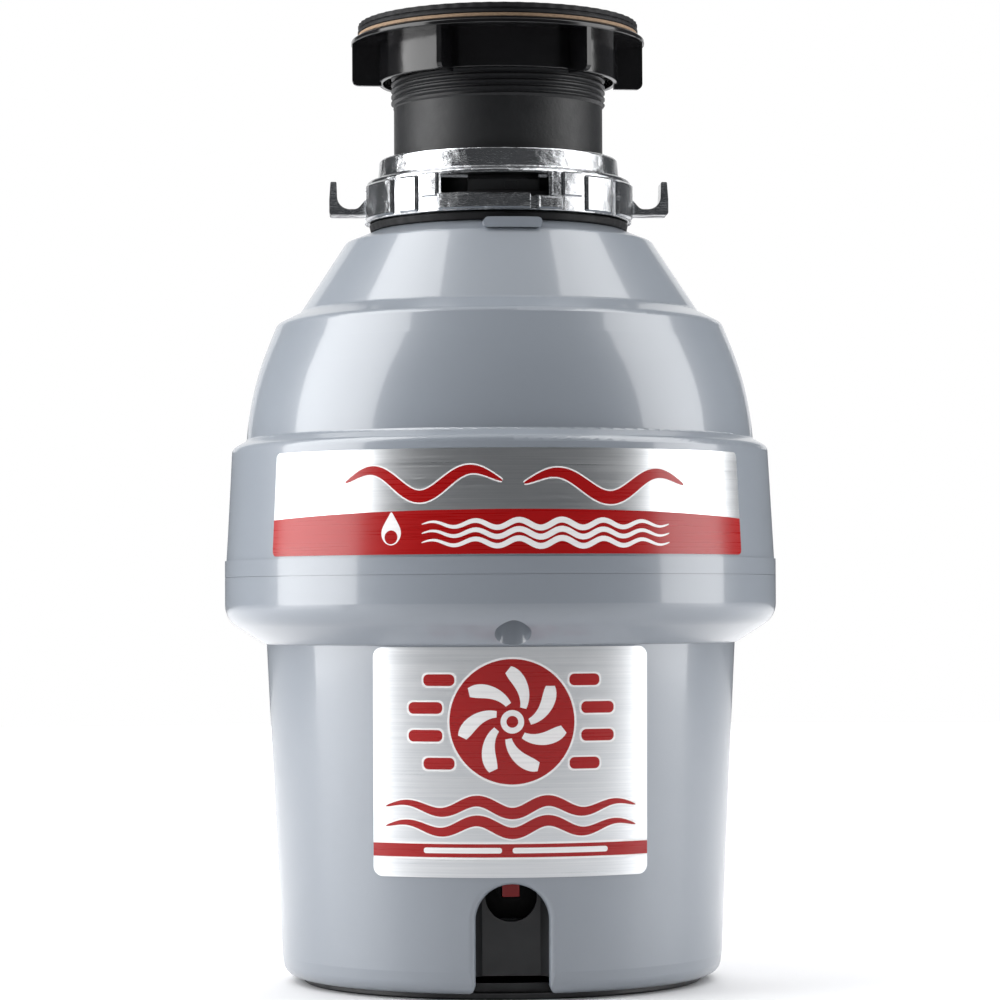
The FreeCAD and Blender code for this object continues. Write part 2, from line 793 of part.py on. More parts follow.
def make_turntable():
    """The spinning plate, with a ring of drain holes and a raised rim."""
    body = new_body("turntable")
    level = S["table_height"]
    rim = S["table_radius"]
    revolve(body, [
        (5.0, level - 3), (14, level - 3), (14, level), (rim - 7, level), (rim - 5, level - 2.4),
        (rim, level - 2.4), (rim, level - 0.2), (rim - 4, level - 0.2), (rim - 6, level + 2.2),
        (5.0, level + 2.2),
    ])
    drains = [pad_circles(body, "XY_Plane", level - 3, 8, [(61, 0, 2.6)], cut=True, backwards=True)]
    repeat_round(body, drains, 8)
    keep(body, "turntable", turn=22.5)


def hexagon(across):
    """The corners of a hexagon of a given width across its flats."""
    return [(x, y) for turn, x, y in round_places(across / math.sqrt(3), 6)]


def make_turntable_nut():
    body = new_body("turntable_nut")
    level = S["table_height"] + 2.2
    pad_circles(body, "XY_Plane", level, 1.2, [(0, 0, 10.5), (0, 0, 5.0)])
    pad(body, "XY_Plane", level + 1.2, 6, hexagon(16.0))
    pad_circles(body, "XY_Plane", level + 1.2, 8, [(0, 0, 5.0)], cut=True, backwards=True)
    keep(body, "turntable_nut")


def make_impellers():
    """Two hardened lugs that swing freely on their rivets and throw the waste at the grind ring."""
    level = S["table_height"] + 2.6
    for number, turn in ((1, 0.0), (2, 180.0)):
        body = new_body("lug")
        pivot = S["pivot_circle"]
        tip = pivot + 22
        heel = pivot - 9
        pad(body, "XY_Plane", level, 4, [(heel, -9, 4), (tip, -9, 3), (tip, 9, 3), (heel, 9, 4)])
        pad(body, "XY_Plane", level + 4, 12, [(tip - 10, -9), (tip, -9, 3), (tip, 9, 3), (tip - 10, 9)])
        pad_circles(body, "XY_Plane", level, 4, [(pivot, 0, 4.05)], cut=True, backwards=True)
        keep(body, f"impeller_{number}", turn)


def make_impeller_rivets():
    level = S["table_height"].value + 2.2
    rivets = []
    for turn, x, y in round_places(S["pivot_circle"].value, 2):
        rivets.append(fuse(cylinder(4.0, 4.8, (x, y, level)), cylinder(7.0, 2.2, (x, y, level + 4.8))))
    keep(group(rivets), "impeller_rivets")


def make_grind_ring():
    """The stainless shredding ring, with a row of slots and hard edges facing the turntable."""
    body = new_body("grind_ring")
    outer = S["chamber_radius"]
    low = S["ring_low"]
    revolve(body, ring_outline(outer - 2.8, outer - 0.05, low, low + 32))
    slot = pad(body, "YZ_Plane", 60, 30, [
        (-3, low + 8, 1.5), (3, low + 8, 1.5), (3, low + 18, 1.5), (-3, low + 18, 1.5),
    ], cut=True, backwards=True)
    repeat_round(body, [slot], 18)
    keep(body, "grind_ring")


def make_hopper():
    """The chamber's walls: a drain housing under the turntable, the hopper over it, and the neck on top."""
    inner = S["chamber_radius"]
    outer = inner + S["chamber_wall"]
    drain = inner - 2.3
    floor = S["chamber_floor"] + 1
    neck = S["neck_radius"]
    top = S["neck_top"]
    body = new_body("chamber")
    revolve(body, [
        (drain, floor), (87, floor), (87, floor + 5), (outer, floor + 5),
        (outer, S["chamber_high"], 12), (neck, S["neck_low"], 8), (neck, top - 3.7),
        (neck + 3, top - 3.7), (neck + 3, top), (S["throat_radius"], top),
        (S["throat_radius"], S["neck_low"] + 1, 8), (inner, S["chamber_high"] - 0.3, 10),
        (inner, S["ring_low"]), (drain, S["ring_low"]),
    ])
    screws = [cylinder(1.9, 4, (x, y, floor)) for turn, x, y in hopper_screw_places()]
    height = S["inlet_height"]
    inlet = at_inlet(lambda: cylinder(S["inlet_radius"], S["inlet_end"] - 99, (0, 99, height), (0, 1, 0)))
    inlet_root = at_inlet(lambda: cylinder(S["inlet_radius"] + 1.2, 21, (0, 79, height), (0, 1, 0)))
    inlet_bore = at_inlet(lambda: cylinder(8.5, 60, (0, 70, height), (0, 1, 0)))
    inside = cylinder(inner, 40, (0, 0, S["ring_low"]))
    walls = cut(fuse(body, inlet, inlet_root), fuse(outlet_bore(), inlet_bore, inside, *screws))
    keep(common(walls, slab(140, 194)), "drain_housing")
    keep(common(walls, slab(194, 242)), "hopper")
    keep(common(walls, slab(242, 310)), "hopper_neck")


def slab(low, high):
    """Everything between two heights."""
    return box((-150, -150, low), (150, 150, high))


def at_inlet(make):
    """Turns what is made towards the dishwasher inlet, to the right of the back."""
    return turned_copy(make, -SIZES["inlet_turn"])


def outlet_bore():
    return cylinder(S["outlet_radius"], 60, (0, 60, S["outlet_height"]), (0, 1, 0))


def make_outlet_spout():
    """The short pipe and bolting plate that carry the slurry out through the back of the case."""
    level = S["outlet_height"]
    face = S["outlet_face"]
    spout = cylinder(22.5, face - 74, (0, 74, level), (0, 1, 0))
    plate = new_body("outlet_plate")
    half = 42.0
    pad(plate, "XZ_Plane", -face, 8, [
        (-half, level - 24, 11), (half, level - 24, 11), (half, level + 24, 11), (-half, level + 24, 11),
    ])
    holes = [cylinder(2.4, 9, (x, 100, level), (0, 1, 0)) for x in (-33, 33)]
    wall = cylinder(S["chamber_radius"] + S["chamber_wall"], 60, (0, 0, 140))
    foot = new_body("housing_foot")
    revolve(foot, ring_outline(0, 87.1, 140, S["chamber_floor"] + 6.1))
    keep(cut(fuse(spout, plate), fuse(outlet_bore(), wall, foot, *holes)), "outlet_spout")


def make_hopper_fasteners():
    """The gasket under the drain housing and the screws that hold it down."""
    floor = S["chamber_floor"]
    gasket = new_body("hopper_gasket")
    revolve(gasket, ring_outline(S["chamber_radius"] - 2.3, 82, floor, floor + 1))
    keep(gasket, "hopper_gasket")
    screws = []
    for turn, x, y in hopper_screw_places():
        screws.append(fuse(cylinder(2.9, 2.4, (x, y, floor - 6.9)), cylinder(1.8, 8.5, (x, y, floor - 4.5))))
    keep(group(screws), "hopper_screws")


def make_inlet_knockout():
    """The plug that closes the dishwasher inlet until one is fitted."""
    plug = at_inlet(lambda: cylinder(8.45, 2, (0, 82, S["inlet_height"]), (0, 1, 0)))
    keep(group([plug]), "inlet_knockout")


def make_insulation():
    """Foam liners that fill the space between the case and what it holds."""
    keep_revolved("lower_insulation", [(63, 56), (78, 56, 3), (83, 128, 3), (63, 128)])
    foam = new_body("upper_foam")
    revolve(foam, [
        (84, 178), (95, 178), (95, 212), (93.5, 234, 60), (83, 256, 4), (74, 262, 4),
        (60, 284), (54, 284), (54, 277), (84, 241, 8),
    ])
    gap = box((-47, 60, 170), (47, 120, 198))
    inlet = at_inlet(lambda: cylinder(14, 60, (0, 60, S["inlet_height"]), (0, 1, 0)))
    keep(cut(foam, fuse(gap, inlet)), "upper_insulation")


# ---- outlet ----

def make_outlet():
    """What is bolted to the outlet: a gasket, a clamping flange, the elbow and two screws."""
    level = S["outlet_height"]
    face = S["outlet_face"]
    pipe = S["outlet_radius"]
    ring = cylinder(24.5, 2, (0, face, level), (0, 1, 0))
    hole = cylinder(pipe - 1.5, 4, (0, face - 1, level), (0, 1, 0))
    keep(cut(ring, hole), "discharge_gasket")
    plate = new_body("discharge_flange")
    half = 40.0
    pad(plate, "XZ_Plane", -face - 8, 2.5, [
        (-half, level - 22, 11), (half, level - 22, 11), (half, level + 22, 11), (-half, level + 22, 11),
    ])
    holes = [(0, level, pipe + 0.6), (-33, level, 2.7), (33, level, 2.7)]
    pad_circles(plate, "XZ_Plane", -face - 8.5, 8, holes, cut=True, backwards=True)
    keep(plate, "discharge_flange")
    make_discharge_elbow()
    screws = []
    for x in (-33, 33):
        head = cylinder(4.6, 3.2, (x, face + 8, level), (0, 1, 0))
        shank = cylinder(2.3, 16, (x, face - 7.5, level), (0, 1, 0))
        screws.append(fuse(head, shank))
    keep(group(screws), "discharge_screws")


def make_discharge_elbow():
    """A plastic tube elbow: a flanged end on the outlet, a quarter bend, then straight down."""
    level = S["outlet_height"].value
    start = S["outlet_face"].value + 2
    pipe = S["outlet_radius"].value
    bend = 26.0
    straight = 9.0
    drop = 40.0
    centre = V(0, start + straight, level - bend)
    arc_middle = centre + V(0, bend * math.sin(math.pi / 4), bend * math.cos(math.pi / 4))
    end = centre + V(0, bend, 0)
    path = Part.Wire([
        Part.LineSegment(V(0, start, level), V(0, start + straight, level)).toShape(),
        Part.Arc(V(0, start + straight, level), arc_middle, end).toShape(),
        Part.LineSegment(end, end - V(0, 0, drop)).toShape(),
    ])
    outside = Part.Wire([Part.makeCircle(pipe, V(0, start, level), V(0, 1, 0))])
    inside = Part.Wire([Part.makeCircle(pipe - 1.8, V(0, start, level), V(0, 1, 0))])
    tube = path.makePipeShell([outside], True, False)
    flange = Part.makeCylinder(24.5, 3.3, V(0, start, level), V(0, 1, 0))
    hollow = path.makePipeShell([inside], True, False)
    item = doc.addObject("Part::Feature", "elbow")
    item.Shape = tube.fuse(flange).cut(hollow).removeSplitter()
    keep(item, "discharge_elbow")


# ---- sink mount ----

def make_cushions():
    """Two rubber rings: one round the neck on the case, and one on the neck that seals the throat."""
    low = S["case_top"]
    neck = S["neck_radius"]
    keep_revolved("cushion", [
        (neck + 0.2, low), (51.2, low, 0.8), (51.9, low + 3.3, 0.8), (neck + 0.2, low + 3.3),
    ])
    keep_revolved("throat_seal", [
        (S["tube_bore"], S["neck_top"]), (neck + 2, S["neck_top"]),
        (neck + 1.2, S["tube_low"]), (S["tube_bore"], S["tube_low"]),
    ])


def make_mount_ring():
    """The die-cast bayonet ring: a drum with three windows, a collar, three entry slots and two ears."""
    drum = S["ring_radius"]
    low = S["ring_bottom"]
    shoulder = S["ring_shoulder"]
    collar = S["collar_radius"]
    bore = S["neck_radius"] + 0.4
    tube = S["tube_radius"]
    body = new_body("ring_body")
    revolve(body, [
        (bore, low), (drum, low, 0.5), (drum, shoulder, 1.4), (collar + 0.7, shoulder + 1.1, 0.8),
        (collar, S["collar_top"], 1.0), (tube + 0.5, S["collar_top"], 0.4), (tube + 0.5, shoulder - 2.3),
        (drum - 2.3, shoulder - 2.3), (drum - 2.3, low + 0.9), (bore, low + 0.9),
    ])
    lips = []
    openings = []
    for turn in (0, 127, 233):
        lips.append(arc_block(drum - 0.6, drum + 1.0, low + 0.3, low + 6.9, -29, 11.5, turn))
        lips.append(arc_block(drum - 0.6, drum + 1.1, low + 0.4, low + 5.6, 13.5, 26, turn))
        openings.append(window_cut(turn))
    for turn in (23, 143, 263):
        openings.append(arc_block(tube - 1, tube + 4.6, shoulder - 3, 330, 0, 44, turn))
    ears = [make_ear(turn) for turn in (0, 180)]
    keep(cut(fuse(body, *lips, *ears), fuse(*openings)), "mount_ring")


def arc_block(inner, outer, low, high, first, last, turn):
    """A stretch of ring between two azimuths, counted from the front towards +X."""
    body = new_body("arc_block")
    revolve(body, ring_outline(inner, outer, low, high), angle=float(last - first))
    body.Placement = FreeCAD.Placement(V(0, 0, 0), FreeCAD.Rotation(V(0, 0, 1), turn + first - 90))
    return body


def window_cut(turn):
    """A window through the drum, whose sill is a gentle cam with a stop at one end."""
    body = new_body("window")
    left, right = -24.5, 17.3
    head = 315.6
    pad(body, "XZ_Plane", 40, 20, [
        (left, head, 0.8), (left, 308.0, 0.8), (-16, 307.9), (2, 307.1), (11, 306.2, 2), (12.5, 306.9, 0.8),
        (right, 306.6, 0.8), (right, head, 0.8),
    ])
    body.Placement = FreeCAD.Placement(V(0, 0, 0), FreeCAD.Rotation(V(0, 0, 1), turn))
    return body


def make_ear(turn):
    """An upright lug on a short arm, where a screwdriver or wrench turns the ring."""
    body = new_body("ear")
    reach = S["ear_reach"]
    drum = S["ring_radius"]
    sketch = new_sketch(body, "XZ_Plane", -6)
    draw_outline(sketch, [
        (drum - 1.5, 304.2), (reach, 304.2, 1.2), (reach, 310.5), (reach - 0.5, 317.4, 0.5),
        (reach - 2.9, 317.4, 0.5), (reach - 3.3, 306.5, 5.0), (drum + 3.8, 306.5, 3.0), (drum - 0.6, 311.5),
        (drum - 1.5, 311.5),
    ])
    finish_pad(body, sketch, 12)
    body.Placement = FreeCAD.Placement(V(0, 0, 0), FreeCAD.Rotation(V(0, 0, 1), turn))
    return body


def make_flange_sleeve():
    """The threaded tube that hangs from the sink flange, with three bayonet tabs at its foot."""
    tube = S["tube_radius"]
    crest = S["thread_radius"]
    pitch = S["thread_pitch"]
    low = S["thread_low"]
    bore = S["tube_bore"]
    foot = S["tube_low"]
    top = S["flange_low"]
    turns = 11
    thread = []
    for i in range(turns):
        start = low + pitch * i
        thread.append((tube, start + pitch * 0.2))
        thread.append((crest, start + pitch * 0.45))
        thread.append((crest, start + pitch * 0.65))
        thread.append((tube, start + pitch * 0.9))
    body = new_body("tube")
    revolve(body, [(bore, foot), (tube, foot), *thread, (tube, top), (bore + 2.9, top), (bore, top - 4.9)])
    tabs = [arc_block(tube - 1, tube + 4.2, foot, foot + 5.2, -18, 18, turn) for turn in (0, 120, 240)]
    keep(fuse(body, *tabs), "flange_sleeve")


def make_sink_flange():
    """The polished flange that sits in the sink, with a lip at its foot to hold the splash guard."""
    liner = S["tube_bore"]
    low = S["flange_low"]
    keep_revolved("sink_flange", [
        (34.4, 350), (liner, 350), (liner, low - 4.9), (liner + 2.9, low), (54.6, low),
        (54.6, S["flange_top"], 0.5), (liner + 2.4, S["flange_top"], 1.5), (liner - 1, low - 4.7, 2.0),
        (liner - 1, 351), (34.4, 351),
    ])


def make_mount_gaskets():
    """The rubber gasket under the sink flange and the pressed fibre one below it."""
    bore = S["thread_radius"] + 0.4
    rubber = S["gasket_radius"] + 0.2
    low = S["gasket_top"]
    high = S["flange_top"] - 0.1
    keep_revolved("sink_gasket", [
        (bore, low + 0.05), (rubber, low + 0.05, 0.5), (rubber, high, 0.4), (55.0, high),
        (55.0, S["flange_low"]), (bore, S["flange_low"]),
    ])
    keep_revolved("fiber_gasket", ring_outline(bore, S["gasket_radius"], S["nut_top"] + 0.1, low))


def make_mount_nut():
    """The plastic ring nut that clamps the flange to the sink, with six upright fins to turn it by."""
    body = new_body("mount_nut")
    wall = S["nut_radius"]
    low = S["nut_low"]
    top = S["nut_top"]
    rim = S["nut_flange_radius"]
    bore = S["thread_radius"] + 0.4
    revolve(body, [
        (wall - 2, low, 0.5), (wall, low, 0.5), (wall, top - 3), (rim, top - 3, 0.4), (rim, top - 1.4, 0.5),
        (rim - 2.2, top, 0.4), (bore, top), (bore, low + 7.5), (wall - 2, low + 7.5),
    ])
    fin = pad(body, "YZ_Plane", -1.0, 2.0, [
        (wall - 1, low - 1.3), (rim - 0.1, low - 1.3, 2.5), (rim - 0.1, top - 2.5), (wall - 1, top - 2.5),
    ])
    repeat_round(body, [fin], 6)
    keep(body, "mount_nut", turn=154.6)


def make_splash_guard():
    """The rubber guard in the throat, whose flaps part to let waste through."""
    body = new_body("splash_guard")
    inner, outer = 31.5, 33.6
    flaps = 334.0
    hem = 351.2
    revolve(body, [
        (0, flaps), (inner, flaps), (inner, flaps - 8), (outer, flaps - 8), (outer, hem), (36.5, hem),
        (36.5, hem + 3.3, 0.8), (inner, hem + 3.3, 0.8), (inner, flaps + 2.4), (0, flaps + 2.4),
    ])
    pad_circles(body, "XY_Plane", flaps - 4, 10, [(0, 0, 7)], cut=True, backwards=True)
    slit = pad(body, "XY_Plane", flaps - 4, 10, [
        (5, -0.4), (28.5, -0.4), (28.5, 0.4), (5, 0.4),
    ], cut=True, backwards=True)
    repeat_round(body, [slit], 8)
    keep(body, "splash_guard")


def check_and_write():
    """Checks every feature and sub-part, then writes one STEP file for each sub-part."""
    doc.recompute()
    for item in doc.Objects:
        if "Invalid" in item.State or "Error" in item.State:
            raise RuntimeError(f"{item.Label} failed: {item.State}")
    for item in pieces:
        if item.Shape.isNull() or not item.Shape.isValid():
            raise RuntimeError(f"{item.Label} has no valid shape")
        if not item.Shape.Solids:
            raise RuntimeError(f"{item.Label} has no solid")
    os.makedirs("parts", exist_ok=True)
    for item in pieces:
        item.Shape.exportStep(os.path.join("parts", f"{item.Label}.step"))


make_base_plate()
make_base_screws()
make_cable_gland()
make_lower_shell()
make_upper_shell()
make_shell_screws()
make_band_label()
make_front_label()
make_reset_panel()
make_overload_protector()
make_reset_button()
make_rectifier()
make_lower_end_bell()
make_upper_end_bell()
make_bearings()
make_motor_can()
make_magnets()
make_through_bolts()
make_brush_gear()
make_shaft()
make_armature_core()
make_windings()
make_commutator()
make_slinger()
make_shaft_seal()
make_turntable()
make_turntable_nut()
make_impellers()
make_impeller_rivets()
make_grind_ring()
make_hopper()
make_outlet_spout()
make_hopper_fasteners()
make_inlet_knockout()
make_insulation()
make_outlet()
make_cushions()
make_mount_ring()
make_flange_sleeve()
make_sink_flange()
make_mount_gaskets()
make_mount_nut()
make_splash_guard()
check_and_write()
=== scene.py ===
import json
import math

import bmesh
import bpy
from mathutils import Matrix, Vector


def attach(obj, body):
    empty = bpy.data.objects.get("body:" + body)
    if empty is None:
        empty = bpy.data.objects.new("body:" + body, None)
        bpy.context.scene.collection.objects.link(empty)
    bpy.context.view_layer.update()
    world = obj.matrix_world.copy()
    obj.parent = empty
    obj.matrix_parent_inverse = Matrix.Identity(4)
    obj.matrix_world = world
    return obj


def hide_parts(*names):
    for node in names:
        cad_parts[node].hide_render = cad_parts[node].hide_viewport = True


# A kitchen garbage disposal, standing on its base. Metres, +Z up, front towards -Y.

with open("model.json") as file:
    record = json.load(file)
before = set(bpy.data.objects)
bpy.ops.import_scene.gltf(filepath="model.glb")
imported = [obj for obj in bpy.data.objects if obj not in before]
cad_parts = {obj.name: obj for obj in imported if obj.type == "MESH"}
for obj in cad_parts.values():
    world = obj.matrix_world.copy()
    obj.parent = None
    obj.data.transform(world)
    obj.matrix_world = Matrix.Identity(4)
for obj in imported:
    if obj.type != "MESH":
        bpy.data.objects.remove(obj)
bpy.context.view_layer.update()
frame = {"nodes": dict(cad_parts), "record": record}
NODES = frame["nodes"]
MM = 0.001
SMOOTH_ANGLE = math.radians(35)


# ---- materials ----

class Look:
    """A material built from nodes round one Principled shader, textured in the object's own space."""

    def __init__(self, name, metallic=0.0, coat=0.0, coat_roughness=0.05, gloss=0.5, uv=False):
        self.material = bpy.data.materials.new(name)
        self.material.use_nodes = True
        self.nodes = self.material.node_tree.nodes
        self.shader = self.nodes["Principled BSDF"]
        self.shader.inputs["Metallic"].default_value = metallic
        self.shader.inputs["Coat Weight"].default_value = coat
        self.shader.inputs["Coat Roughness"].default_value = coat_roughness
        self.shader.inputs["Specular IOR Level"].default_value = gloss
        self.place = self.add("ShaderNodeTexCoord").outputs["UV" if uv else "Object"]
        self.last_normal = None

    def add(self, kind, **settings):
        """A new shader node with the given settings."""
        node = self.nodes.new(kind)
        for name, value in settings.items():
            setattr(node, name, value)
        return node

    def link(self, source, target):
        self.material.node_tree.links.new(source, target)

    def stretched(self, x, y, z):
        """Texture coordinates scaled by three different amounts."""
        mapping = self.add("ShaderNodeMapping")
        mapping.inputs["Scale"].default_value = (x, y, z)
        self.link(self.place, mapping.inputs["Vector"])
        return mapping.outputs["Vector"]

    def noise(self, scale, detail=3.0, roughness=0.5, at=None):
        """Cloudy noise, at the object's own coordinates or at stretched ones."""
        node = self.add("ShaderNodeTexNoise")
        node.inputs["Scale"].default_value = scale
        node.inputs["Detail"].default_value = detail
        node.inputs["Roughness"].default_value = roughness
        self.link(at or self.place, node.inputs["Vector"])
        return node.outputs["Fac"]

    def cells(self, scale):
        """Small cells, as in foam: the distance to the nearest cell's middle."""
        node = self.add("ShaderNodeTexVoronoi", feature="F1")
        node.inputs["Scale"].default_value = scale
        self.link(self.place, node.inputs["Vector"])
        return node.outputs["Distance"]

    def rings(self, scale, direction="Z", distortion=0.0):
        """Even bands across a direction, straight or wavy."""
        node = self.add("ShaderNodeTexWave", wave_type="BANDS", bands_direction=direction)
        node.inputs["Scale"].default_value = scale
        node.inputs["Distortion"].default_value = distortion
        self.link(self.place, node.inputs["Vector"])
        return node.outputs["Fac"]

    def turned(self, scale):
        """Noise in fine circles round the vertical axis, as a lathe leaves."""
        flat = self.add("ShaderNodeVectorMath", operation="MULTIPLY")
        flat.inputs[1].default_value = (1, 1, 0)
        self.link(self.place, flat.inputs[0])
        radius = self.add("ShaderNodeVectorMath", operation="LENGTH")
        self.link(flat.outputs["Vector"], radius.inputs[0])
        height = self.add("ShaderNodeSeparateXYZ")
        self.link(self.place, height.inputs["Vector"])
        total = self.add("ShaderNodeMath", operation="ADD")
        self.link(radius.outputs["Value"], total.inputs[0])
        self.link(height.outputs["Z"], total.inputs[1])
        node = self.add("ShaderNodeTexNoise", noise_dimensions="1D")
        node.inputs["Scale"].default_value = scale
        node.inputs["Detail"].default_value = 3.0
        self.link(total.outputs["Value"], node.inputs["W"])
        return node.outputs["Fac"]

    def spread(self, factor, low, high, start=0.3, end=0.7):
        """A number between low and high, as the factor goes from start to end."""
        node = self.add("ShaderNodeMapRange")
        for name, value in (("From Min", start), ("From Max", end), ("To Min", low), ("To Max", high)):
            node.inputs[name].default_value = value
        self.link(factor, node.inputs["Value"])
        return node.outputs["Result"]

    def colours(self, factor, stops):
        """A colour ramp through (position, colour) stops."""
        ramp = self.add("ShaderNodeValToRGB")
        elements = ramp.color_ramp.elements
        while len(elements) < len(stops):
            elements.new(0.5)
        for element, (position, colour) in zip(elements, stops):
            element.position = position
            element.color = (*colour, 1.0)
        self.link(factor, ramp.inputs["Fac"])
        return ramp.outputs["Color"]

    def paint(self, factor, stops):
        """Colours the surface by a ramp."""
        self.link(self.colours(factor, stops), self.shader.inputs["Base Color"])
        return self

    def rough(self, factor, low, high):
        """Varies the surface's roughness between two values."""
        self.link(self.spread(factor, low, high), self.shader.inputs["Roughness"])
        return self

    def bump(self, height, depth):
        """Adds relief of the given depth in metres on top of any relief before it."""
        node = self.add("ShaderNodeBump")
        node.inputs["Strength"].default_value = 1.0
        node.inputs["Distance"].default_value = depth
        self.link(height, node.inputs["Height"])
        if self.last_normal:
            self.link(self.last_normal, node.inputs["Normal"])
        self.last_normal = node.outputs["Normal"]
        self.link(self.last_normal, self.shader.inputs["Normal"])
        return self


def shades(colour, darker, lighter):
    """Two stops round a colour, for a slight variation over a surface."""
    return [(0.25, [c * darker for c in colour]), (0.75, [c * lighter for c in colour])]


def case_plastic():
    """Glossy grey moulded plastic with faint sink marks."""
    look = Look("case_plastic", coat=0.6, coat_roughness=0.08)
    look.paint(look.noise(9, 4), shades((0.215, 0.238, 0.270), 0.97, 1.03))
    look.rough(look.noise(14, 5), 0.29, 0.35)
    return look.bump(look.noise(900, 2), 0.000010).bump(look.noise(22, 1), 0.00012)


def black_plastic(name, colour, low, high, grain, depth, gloss=0.5):
    """Dark moulded plastic, with its own roughness range and grain."""
    look = Look(name, gloss=gloss)
    look.paint(look.noise(40, 4), shades(colour, 0.8, 1.25))
    look.rough(look.noise(180, 4), low, high)
    return look.bump(look.noise(grain, 3), depth)


def soft_rubber():
    """Dull black rubber with a fine powdery grain."""
    look = Look("soft_rubber", gloss=0.22)
    look.paint(look.noise(70, 5), shades((0.008, 0.008, 0.009), 0.75, 1.4))
    look.rough(look.noise(300, 4), 0.5, 0.72)
    return look.bump(look.noise(1500, 3), 0.00003).bump(look.noise(120, 3), 0.00005)


def cast_zinc():
    """Bright die-cast metal with fine scratches and an uneven skin."""
    look = Look("cast_zinc", metallic=1.0)
    look.paint(look.noise(35, 5), shades((0.50, 0.51, 0.525), 0.72, 1.15))
    scratches = look.noise(6, 5, 0.7, look.stretched(60, 60, 420))
    look.rough(scratches, 0.08, 0.22)
    look.bump(scratches, 0.00010)
    look.bump(look.noise(420, 3), 0.00009)
    return look.bump(look.noise(95, 2), 0.0008)


def brushed_steel(name, colour, low, high):
    """Steel with a fine grain along its height."""
    look = Look(name, metallic=1.0)
    grain = look.noise(1, 4, 0.6, look.stretched(900, 900, 12))
    look.paint(look.noise(30, 4), shades(colour, 0.88, 1.08))
    look.rough(grain, low, high)
    return look.bump(grain, 0.00003)


def turned_steel():
    """Stainless steel with the fine circles that a lathe leaves."""
    look = Look("stainless", metallic=1.0)
    circles = look.turned(650)
    look.paint(look.noise(30, 4), shades((0.62, 0.62, 0.61), 0.92, 1.06))
    look.rough(circles, 0.20, 0.30)
    return look.bump(circles, 0.000008)


def foil():
    """Silver label stock with a fine brushing along the label."""
    look = Look("foil", metallic=1.0, uv=True)
    grain = look.noise(1, 5, 0.65, look.stretched(16, 1500, 1))
    look.paint(grain, [(0.3, (0.54, 0.56, 0.58)), (0.7, (0.66, 0.67, 0.68))])
    look.rough(grain, 0.27, 0.36)
    return look.bump(grain, 0.000012)


def ink(name, colour):
    """Printing ink that shows a little of the foil's brushing."""
    look = Look(name, coat=0.12, coat_roughness=0.15, gloss=0.35, uv=True)
    grain = look.noise(1, 4, 0.6, look.stretched(16, 1100, 1))
    look.paint(grain, shades(colour, 0.93, 1.07))
    look.rough(grain, 0.25, 0.33)
    return look.bump(grain, 0.00001)


def laminations():
    """A stack of thin steel sheets."""
    look = Look("laminations", metallic=1.0)
    layers = look.rings(620)
    look.paint(layers, [(0.2, (0.10, 0.10, 0.105)), (0.8, (0.34, 0.34, 0.35))])
    look.rough(look.noise(90, 4), 0.35, 0.55)
    return look.bump(layers, 0.0001)


def copper_wire():
    """Bundled copper wire."""
    look = Look("copper_wire", metallic=1.0)
    strands = look.rings(380, "DIAGONAL", 3.0)
    look.paint(strands, [(0.1, (0.22, 0.07, 0.03)), (0.7, (0.72, 0.31, 0.15))])
    look.rough(look.noise(200, 3), 0.22, 0.4)
    return look.bump(strands, 0.0004)


def brush_carbon():
    """Pressed carbon."""
    look = Look("brush_carbon")
    look.paint(look.noise(500, 5), shades((0.03, 0.03, 0.032), 0.5, 1.6))
    look.rough(look.noise(300, 3), 0.45, 0.65)
    return look.bump(look.noise(1200, 3), 0.00005)


def button_plastic():
    """Deep red moulded plastic."""
    look = Look("button_plastic", coat=0.1, gloss=0.3)
    look.paint(look.noise(60, 3), shades((0.26, 0.004, 0.006), 0.85, 1.15))
    look.rough(look.noise(200, 3), 0.28, 0.42)
    return look.bump(look.noise(900, 2), 0.00002)


def pressed_fibre():
    """Brown fibre board with flat strands."""
    look = Look("pressed_fibre")
    strands = look.noise(1, 5, 0.7, look.stretched(500, 500, 2500))
    look.paint(strands, [(0.3, (0.15, 0.09, 0.05)), (0.7, (0.36, 0.25, 0.16))])
    look.rough(strands, 0.7, 0.9)
    return look.bump(strands, 0.0001)


def liner_foam():
    """Pale open foam."""
    look = Look("liner_foam")
    look.paint(look.noise(60, 4), shades((0.62, 0.62, 0.60), 0.85, 1.05))
    look.rough(look.noise(100, 3), 0.85, 0.97)
    return look.bump(look.cells(420), 0.0008)


LOOKS = {
    "case": case_plastic(),
    "black_moulding": black_plastic("black_moulding", (0.010, 0.0105, 0.012), 0.34, 0.48, 1600, 0.00003),
    "nut_moulding": black_plastic("nut_moulding", (0.004, 0.004, 0.0045), 0.12, 0.21, 260, 0.00005, 0.4),
    "rubber": soft_rubber(),
    "cast_metal": cast_zinc(),
    "stainless": turned_steel(),
    "steel": brushed_steel("steel", (0.50, 0.51, 0.53), 0.25, 0.42),
    "lamination": laminations(),
    "copper": copper_wire(),
    "carbon": brush_carbon(),
    "foil": foil(),
    "button_red": button_plastic(),
    "fiber": pressed_fibre(),
    "foam": liner_foam(),
    # the switch: its own black plastic, made darker and duller as painted shade of the notch it sits in
    "switch_shade": black_plastic("switch_painted_shade", (0.0015, 0.0015, 0.0016), 0.6, 0.75, 700, 0.00005, 0.1),
    "tube": black_plastic("tube_moulding", (0.009, 0.0095, 0.0105), 0.42, 0.52, 700, 0.00007, 0.3),
    "red_ink": ink("red_ink", (0.30, 0.0012, 0.0018)),
    "white_ink": ink("white_ink", (0.78, 0.77, 0.77)),
}


def dress_nodes():
    """Gives every carried-over part its slot's material, and to the switch a darker, matt black than its
    slot's: its own black plastic with painted shade of the notch it sits in.
    """
    for entry in frame["record"]["subparts"]:
        node = NODES[entry["node"]]
        # the switch takes the black with painted shade of the notch instead of its slot's black
        look = "switch_shade" if entry["node"] == "overload_protector" else entry["material_slot"]
        node.data.materials.clear()
        node.data.materials.append(LOOKS[look].material)


